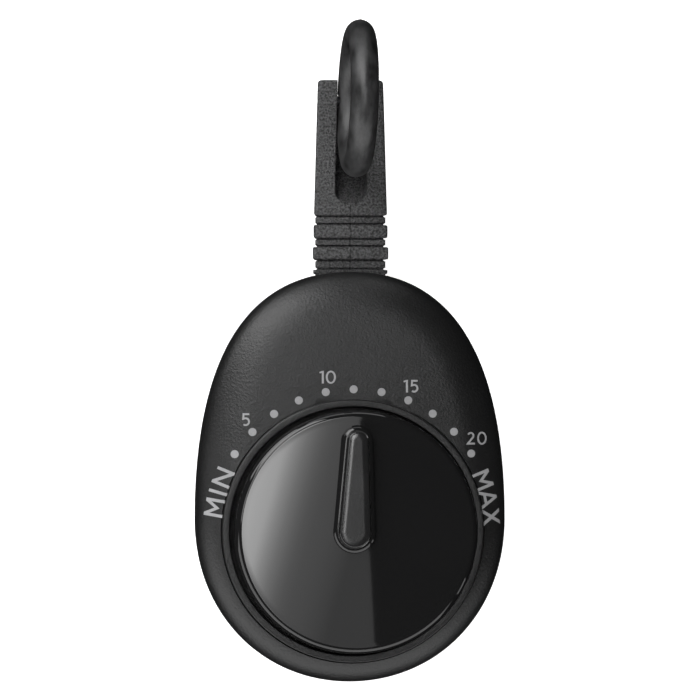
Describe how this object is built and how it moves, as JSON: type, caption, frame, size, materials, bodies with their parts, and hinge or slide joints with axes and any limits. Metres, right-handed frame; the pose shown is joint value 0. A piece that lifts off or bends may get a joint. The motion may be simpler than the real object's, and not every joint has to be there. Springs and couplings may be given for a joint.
{
  "type": "kitchen timer",
  "caption": "Wind-up kitchen timer: egg-shaped case with a round gloss dial knob, a ribbed hanger arm and a swinging hanging ring, gear train and bell inside.",
  "frame": {"origin": "on the flat back face, under the dial knob's axis", "axes": "+Z out of the dial along the knob's axis, +Y towards the hanging ring (12 o'clock), +X towards the right of the dial"},
  "size_m": [0.0622, 0.1316, 0.0438],
  "materials": {
    "housing": "charcoal-black moulded plastic, fine spark-eroded texture, smoother towards the rolled edge",
    "arm": "charcoal moulded plastic with a coarser speckled matte texture",
    "knob": "mirror-gloss black plastic",
    "inlay": "satin charcoal plastic",
    "ring": "satin black moulded plastic with a fine flash line",
    "steel": "turned and plated steel",
    "spring_steel": "blued spring steel",
    "brass": "stamped brass sheet",
    "bell_metal": "spun bell brass, polished"
  },
  "bodies": {
    "housing": {"front_housing": "housing", "rear_cover": "housing", "cover_screw_1": "steel", "cover_screw_2": "steel", "cover_screw_3": "steel", "cover_screw_4": "steel", "hanger_arm": "arm", "ring_pin": "steel", "shaft_bush": "brass", "back_plate": "brass", "front_plate": "brass", "pillar_1": "steel", "pillar_2": "steel", "pillar_3": "steel", "movement_screw_1": "steel", "movement_screw_2": "steel", "movement_screw_3": "steel", "mainspring": "spring_steel", "hammer_spring": "spring_steel", "bell": "bell_metal", "bell_post": "steel", "bell_screw": "steel"},
    "dial": {"dial_knob": "knob", "grip_inlay": "inlay", "hub_clip": "spring_steel", "main_arbor": "steel", "great_wheel": "brass", "alarm_cam": "steel"},
    "second_arbor": {"second_pinion": "steel", "second_wheel": "brass"},
    "third_arbor": {"third_pinion": "steel", "third_wheel": "brass"},
    "escape_arbor": {"escape_pinion": "steel", "escape_wheel": "brass"},
    "balance": {"balance_staff": "steel", "pallet_anchor": "steel", "balance_wheel": "brass"},
    "hammer": {"hammer_arbor": "steel", "trip_lever": "steel", "bell_hammer": "brass"},
    "ring": {"hanging_ring": "ring"}
  },
  "joints": [
    {"name": "dial_turn", "type": "hinge", "parent": "housing", "child": "dial", "pos_m": [0, 0, 0.012], "axis": [0, 0, -1], "range_deg": [-75, 75]},
    {"name": "second_turn", "type": "hinge", "parent": "housing", "child": "second_arbor", "pos_m": [0, 0.018, 0.012], "axis": [0, 0, -1], "range_deg": [-301, 301]},
    {"name": "third_turn", "type": "hinge", "parent": "housing", "child": "third_arbor", "pos_m": [-0.01252, 0.01089, 0.012], "axis": [0, 0, -1], "range_deg": [-901, 901]},
    {"name": "escape_turn", "type": "hinge", "parent": "housing", "child": "escape_arbor", "pos_m": [-0.01658, 0.00088, 0.012], "axis": [0, 0, -1], "range_deg": [-1801, 1801]},
    {"name": "balance_swing", "type": "hinge", "parent": "housing", "child": "balance", "pos_m": [-0.0146, -0.0079, 0.012], "axis": [0, 0, -1], "range_deg": [-6, 6]},
    {"name": "hammer_swing", "type": "hinge", "parent": "housing", "child": "hammer", "pos_m": [0.0172, -0.001, 0.012], "axis": [0, 0, 1], "range_deg": [0, 8], "stiffness_Nm_per_rad": 0.001, "springref_deg": -11.46},
    {"name": "ring_swing", "type": "hinge", "parent": "housing", "child": "ring", "pos_m": [0.00024, 0.0857, 0.0154], "axis": [-0.9997, 0.0244, 0], "range_deg": [-30, 88]}
  ],
  "couplings": [
    {"joint": "second_turn", "follows": "dial_turn", "ratio": -4},
    {"joint": "third_turn", "follows": "dial_turn", "ratio": 12},
    {"joint": "escape_turn", "follows": "dial_turn", "ratio": -24}
  ]
}
